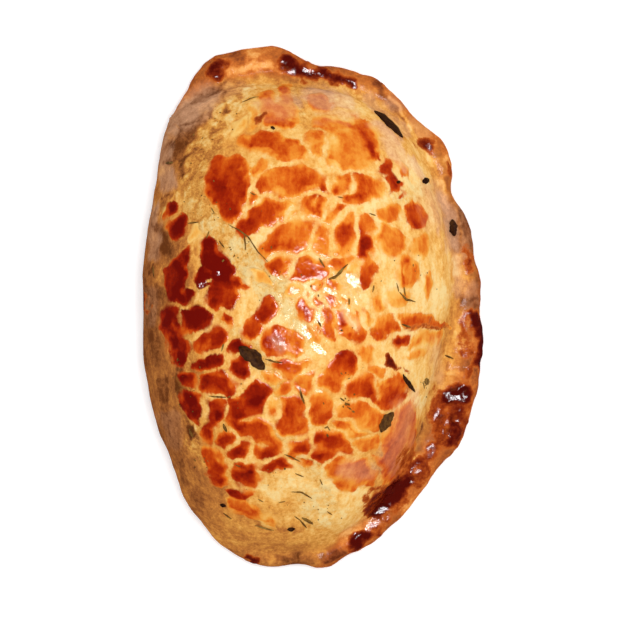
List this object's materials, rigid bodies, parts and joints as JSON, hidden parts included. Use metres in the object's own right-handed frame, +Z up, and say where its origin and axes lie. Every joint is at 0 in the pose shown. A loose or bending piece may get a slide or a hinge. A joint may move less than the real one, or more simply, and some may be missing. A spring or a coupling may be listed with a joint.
{
  "type": "cheese pogaca",
  "caption": "Half-moon filled bread roll, domed on one side of a pinched rim and smooth along its fold, with a flat base to rest on.",
  "frame": {"origin": "middle of the bounding box's bottom face, on the surface the loaf rests on", "axes": "+Z up, +Y along the loaf, the folded side faces -X and the pinched rim runs round the +X side"},
  "size_m": [0.078, 0.1208, 0.0404],
  "materials": {
    "crust": "baked soft dough under an egg-yolk glaze that tore as it rose: glossy orange to red-brown plates, matt cream-yellow tears, dark caramel on the rim"
  },
  "bodies": {
    "root": {"loaf": "crust"}
  },
  "joints": []
}
